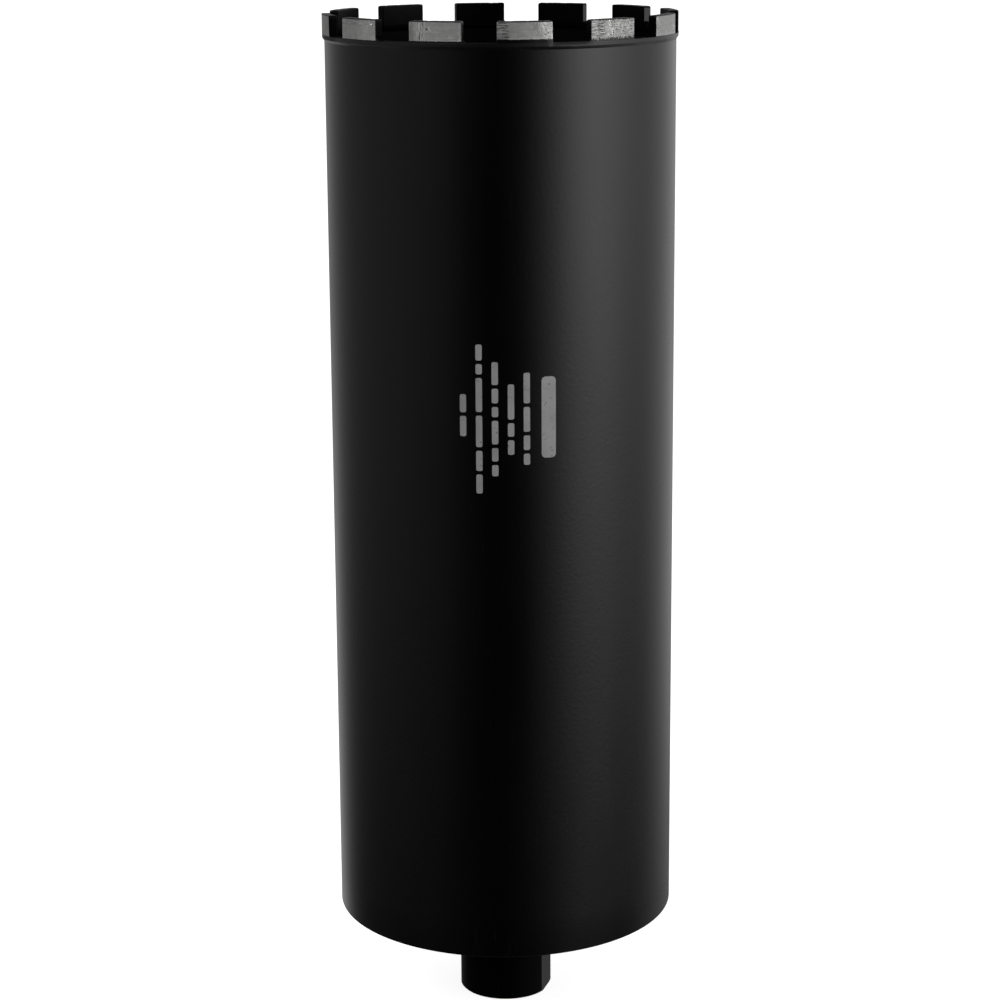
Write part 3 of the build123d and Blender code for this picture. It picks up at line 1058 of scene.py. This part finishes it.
# brightness of the surroundings by direction. Degrees are measured round the
# vertical axis from the camera's side, positive towards the picture's right.
# Each part has its own falls by elevation, also in degrees.
SURROUNDINGS = [
    # the room in front and to both sides
    ([(-180, 0.0), (-155, 0.0), (-138, .14), (-128, .19), (-105, .216), (-71, .22), (-40, .15),
      (-27, .07), (-11, .014), (0, .010), (13, .05), (21, .12), (32, .17), (60, .17), (90, .17),
      (112, .22), (124, .20), (142, .16), (159, .05), (180, 0.0)],
     [(-90, .0), (-64, .01), (-50, .55), (-43, .50), (-37, .16), (-30, .13), (-25, .17), (-22, .24), (-20, .39), (-17.7, .68), (-13.4, .90),
      (-9, 1.0), (0, 1.05), (20, 1.0), (50, .5)]),
    # the white wall behind, left
    ([(-180, .18), (-172, .34), (-164, .50), (-150, .41), (-138, .16), (-127, .045), (-116, 0.0), (170, 0.0), (180, .18)],
     [(-90, .0), (-55, .15), (-42, .5), (-32, 1.0), (-24, 1.15), (-18, 1.15), (-13.4, 1.0),
      (-9, .88), (-4, .86), (20, .8), (50, .5)]),
    # the white wall behind, right
    ([(-180, .14), (-170, 0.0), (90, 0.0), (112, .15), (124, .38), (142, .52), (159, .55), (170, .38), (180, .14)],
     [(-90, .0), (-55, .15), (-44, .6), (-36, .8), (-30, .6), (-24, .35), (-22, .38), (-20, .52),
      (-17.7, .74), (-13.4, .92), (-9, 1.0), (0, 1.05), (20, 1.0), (50, .5)]),
    # the long soft light on the right
    ([(-180, 0.0), (16, 0.0), (21, .04), (29, .19), (38, .53), (46, 1.0), (55, 1.30), (64, 1.42),
      (73, 1.26), (84, .92), (100, .44), (112, .22), (124, .05), (132, 0.0), (180, 0.0)],
     [(-90, 0.0), (-62, .0), (-53, .35), (-45, .45), (-39, .16), (-34, .01), (-26, .01), (-22, .02), (-20.9, .035), (-17.7, .23), (-13.4, .58),
      (-9.1, 1.04), (-4.8, 1.46), (3, 1.45), (20, 0.6), (40, 0.15)]),
    # light coming back up from the ground
    ([(-180, .30), (-139, .22), (-126, .14), (-84, .05), (-40, .035), (-11, .0), (13, .02),
      (40, .05), (90, .04), (117, .09), (180, .30)],
     [(-90, .5), (-60, .9), (-48, 1.0), (-38, .7), (-31, .25), (-27, 0.0), (0, 0.0)]),
    # light from overhead
    ([(-180, .20), (180, .20)],
     [(-90, 0.0), (22, 0.0), (45, 1.0), (90, 1.0)]),
]


def make_world():
    world = bpy.data.worlds.new("studio")
    bpy.context.scene.world = world
    world.use_nodes = True
    t = world.node_tree
    t.nodes.clear()
    out = t.nodes.new("ShaderNodeOutputWorld")
    back = t.nodes.new("ShaderNodeBackground")
    t.links.new(back.outputs[0], out.inputs["Surface"])
    coord = t.nodes.new("ShaderNodeTexCoord")

    def vmath(op, a, b):
        n = t.nodes.new("ShaderNodeVectorMath")
        n.operation = op
        t.links.new(a, n.inputs[0])
        n.inputs[1].default_value = b
        return n.outputs["Value"]

    def m(op, a, b=None, clamp=False):
        n = t.nodes.new("ShaderNodeMath")
        n.operation = op
        n.use_clamp = clamp
        for i, v in enumerate((a, b)):
            if v is None:
                continue
            if isinstance(v, bpy.types.NodeSocket):
                t.links.new(v, n.inputs[i])
            else:
                n.inputs[i].default_value = v
        return n.outputs[0]

    def curve(value, stops, scale):
        """Piecewise values over 0..1, as a ramp of greys."""
        n = t.nodes.new("ShaderNodeValToRGB")
        t.links.new(value, n.inputs[0])
        r = n.color_ramp
        r.interpolation = "LINEAR"
        while len(r.elements) < len(stops):
            r.elements.new(0.5)
        for e, (pos, v) in zip(r.elements, stops):
            e.position = pos
            e.color = (v / scale, v / scale, v / scale, 1.0)
        return m("MULTIPLY", n.outputs["Color"], scale)

    az = math.radians(CAMERA_AZIMUTH)
    d = coord.outputs["Generated"]
    toward = vmath("DOT_PRODUCT", d, (math.sin(az), -math.cos(az), 0.0))
    right = vmath("DOT_PRODUCT", d, (math.cos(az), math.sin(az), 0.0))
    up = vmath("DOT_PRODUCT", d, (0.0, 0.0, 1.0))
    turn = m("ADD", m("DIVIDE", m("ARCTAN2", right, toward), 2 * math.pi), 0.5)
    elevation = m("ADD", m("DIVIDE", m("ARCSINE", up), math.pi), 0.5)     # 0..1 for -90..90

    def at(deg):
        return (deg + 90.0) / 180.0

    total = None
    for by_turn, by_elevation in SURROUNDINGS:
        part = m("MULTIPLY",
                 curve(turn, [((a + 180.0) / 360.0, v) for a, v in by_turn], 2.0),
                 curve(elevation, [(at(e), v) for e, v in by_elevation], 2.0))
        total = part if total is None else m("ADD", total, part)
    path = t.nodes.new("ShaderNodeLightPath")
    seen = path.outputs["Is Camera Ray"]
    mixed = m("ADD", m("MULTIPLY", total, m("SUBTRACT", 1.0, seen)), m("MULTIPLY", seen, 1.0))
    comb = t.nodes.new("ShaderNodeCombineColor")
    for i in range(3):
        t.links.new(mixed, comb.inputs[i])
    t.links.new(comb.outputs[0], back.inputs["Color"])
    back.inputs["Strength"].default_value = 1.0
    return world


def area_light(name, azimuth, elevation, distance, size, power, target=(0, 0, 0.45)):
    """A soft panel. Azimuth is measured from the camera's side, positive right."""
    data = bpy.data.lights.new(name, "AREA")
    data.shape = "RECTANGLE"
    data.size, data.size_y = size
    data.energy = power
    obj = link(bpy.data.objects.new(name, data))
    a = math.radians(CAMERA_AZIMUTH + azimuth)
    e = math.radians(elevation)
    offset = Vector((math.sin(a) * math.cos(e), -math.cos(a) * math.cos(e), math.sin(e))) * distance
    obj.location = Vector(target) + offset
    obj.rotation_euler = (-offset).to_track_quat("-Z", "Y").to_euler()
    return obj


def make_camera():
    yaw, pitch, roll = -0.001156, 0.226068, -0.006256
    distance, height, focal = 1187.80292, 529.135, 2612.785
    fwd = Vector((math.sin(yaw) * math.cos(pitch), math.cos(yaw) * math.cos(pitch), -math.sin(pitch)))
    right = Vector((math.cos(yaw), -math.sin(yaw), 0.0))
    up = right.cross(fwd)
    r = right * math.cos(roll) + up * math.sin(roll)
    u = -right * math.sin(roll) + up * math.cos(roll)
    basis = Matrix((r, u, -fwd)).transposed().to_4x4()
    spin = Matrix.Rotation(math.radians(CAMERA_AZIMUTH), 4, "Z")
    place = Matrix.Translation(Vector((0.0, -distance, height)) * MM)
    data = bpy.data.cameras.new("camera")
    data.sensor_fit = "HORIZONTAL"
    data.sensor_width = 36.0
    data.lens = 36.0 * focal / 1000.0
    data.clip_start, data.clip_end = 0.05, 200.0
    data.shift_y = -0.030
    data.dof.use_dof = False
    obj = link(bpy.data.objects.new("camera", data))
    obj.matrix_world = spin @ place @ basis
    bpy.context.scene.camera = obj
    return obj


make_floor()
make_world()
area_light("key_panel", 62, 26, 2.6, (1.0, 1.4), 2.5)
area_light("fill_panel", -45, 34, 3.0, (1.2, 1.6), 16.0)
make_camera()
bpy.context.scene.view_settings.view_transform = "Standard"
bpy.context.scene.view_settings.look = "None"
bpy.context.scene.view_settings.exposure = 0.0
bpy.context.scene.view_settings.gamma = 1.0
